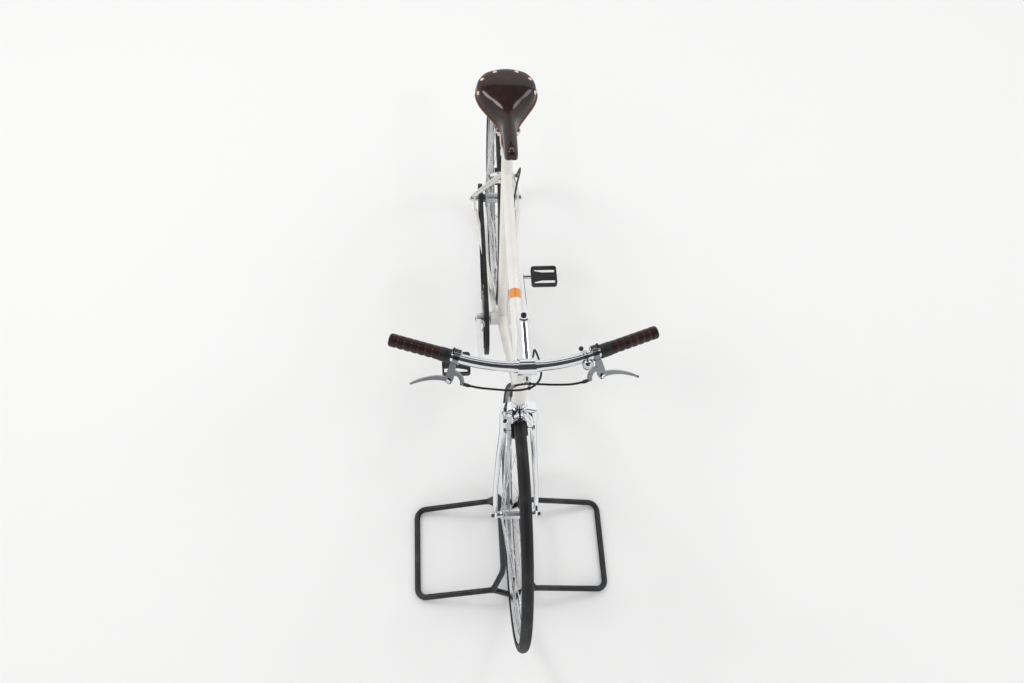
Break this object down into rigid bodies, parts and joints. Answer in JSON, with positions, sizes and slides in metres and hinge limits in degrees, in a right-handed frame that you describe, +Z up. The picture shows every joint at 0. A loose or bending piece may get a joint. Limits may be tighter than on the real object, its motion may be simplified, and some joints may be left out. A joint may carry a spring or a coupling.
{
  "type": "city bicycle in a floor stand",
  "caption": "City bicycle with drop-free handlebar, leather saddle and toothed belt drive, standing in a tubular floor stand.",
  "frame": {"origin": "on the floor, midway between the two axles, in the plane of the wheels", "axes": "+X forward, +Y to the rider's left, +Z up"},
  "size_m": [1.694, 0.5702, 0.9502],
  "materials": {
    "frame_paint": "gloss cream",
    "chrome": "polished",
    "polished_alloy": "polished",
    "tyre_rubber": "matt",
    "rim_alloy": "polished",
    "hub_steel": "polished hub and spokes",
    "belt_rubber": "matt",
    "black_alloy": "black anodised",
    "brown_leather": "waxed",
    "brass_parts": "copper plated",
    "pad_rubber": "matt",
    "cable_housing": "satin",
    "stand_paint": "satin black",
    "pedal_resin": "moulded"
  },
  "bodies": {
    "fork": {"fork_crown": "chrome", "fork_blade_left": "chrome", "fork_blade_right": "chrome", "headset_races": "chrome", "front_axle": "hub_steel", "stem": "polished_alloy", "handlebar": "polished_alloy", "grip_left": "brown_leather", "grip_right": "brown_leather", "brake_lever_left": "polished_alloy", "brake_lever_right": "polished_alloy", "bell": "chrome", "brake_front": "chrome", "front_brake_pads": "pad_rubber", "front_brake_cable": "cable_housing", "rear_cable_loop": "cable_housing", "stand_wing_left": "stand_paint", "stand_wing_right": "stand_paint", "stand_hoop_left": "stand_paint", "stand_hoop_right": "stand_paint"},
    "frame": {"head_tube": "frame_paint", "top_tube": "frame_paint", "down_tube": "frame_paint", "seat_tube": "frame_paint", "bottom_bracket_shell": "frame_paint", "chainstay_left": "frame_paint", "chainstay_right": "frame_paint", "seatstay_left": "frame_paint", "seatstay_right": "frame_paint", "seatstay_bridge": "frame_paint", "headset_cups": "chrome", "seat_clamp": "polished_alloy", "seatpost": "polished_alloy", "saddle_leather": "brown_leather", "saddle_rails": "brass_parts", "saddle_clamp": "polished_alloy", "brake_rear": "chrome", "rear_brake_pads": "pad_rubber", "rear_brake_cable": "cable_housing", "drive_belt": "belt_rubber", "rear_axle": "hub_steel"},
    "front_wheel": {"front_tyre": "tyre_rubber", "front_rim": "rim_alloy", "front_hub": "hub_steel"},
    "rear_wheel": {"rear_tyre": "tyre_rubber", "rear_rim": "rim_alloy", "rear_hub": "hub_steel", "rear_sprocket": "black_alloy"},
    "crank": {"crank_right": "polished_alloy", "crank_left": "polished_alloy", "crank_axle": "hub_steel", "belt_ring": "black_alloy", "pedal_spindles": "hub_steel"},
    "pedal_left": {"pedal_left": "pedal_resin"},
    "pedal_right": {"pedal_right": "pedal_resin"}
  },
  "joints": [
    {"name": "steering", "type": "hinge", "parent": "fork", "child": "frame", "pos_m": [0.33522, 0, 0.70256], "axis": [-0.3256, 0, 0.9455], "range_deg": [-70, 70]},
    {"name": "front_wheel_spin", "type": "hinge", "parent": "fork", "child": "front_wheel", "pos_m": [0.508, 0, 0.339], "axis": [0, 1, 0], "continuous": true},
    {"name": "rear_wheel_spin", "type": "hinge", "parent": "frame", "child": "rear_wheel", "pos_m": [-0.508, 0, 0.339], "axis": [0, 1, 0], "continuous": true},
    {"name": "crank_spin", "type": "hinge", "parent": "frame", "child": "crank", "pos_m": [-0.10411, 0, 0.284], "axis": [0, 1, 0], "continuous": true},
    {"name": "pedal_left_spin", "type": "hinge", "parent": "crank", "child": "pedal_left", "pos_m": [-0.27008, 0.136, 0.24721], "axis": [0, 1, 0], "continuous": true},
    {"name": "pedal_right_spin", "type": "hinge", "parent": "crank", "child": "pedal_right", "pos_m": [0.06186, -0.136, 0.32079], "axis": [0, 1, 0], "continuous": true}
  ]
}
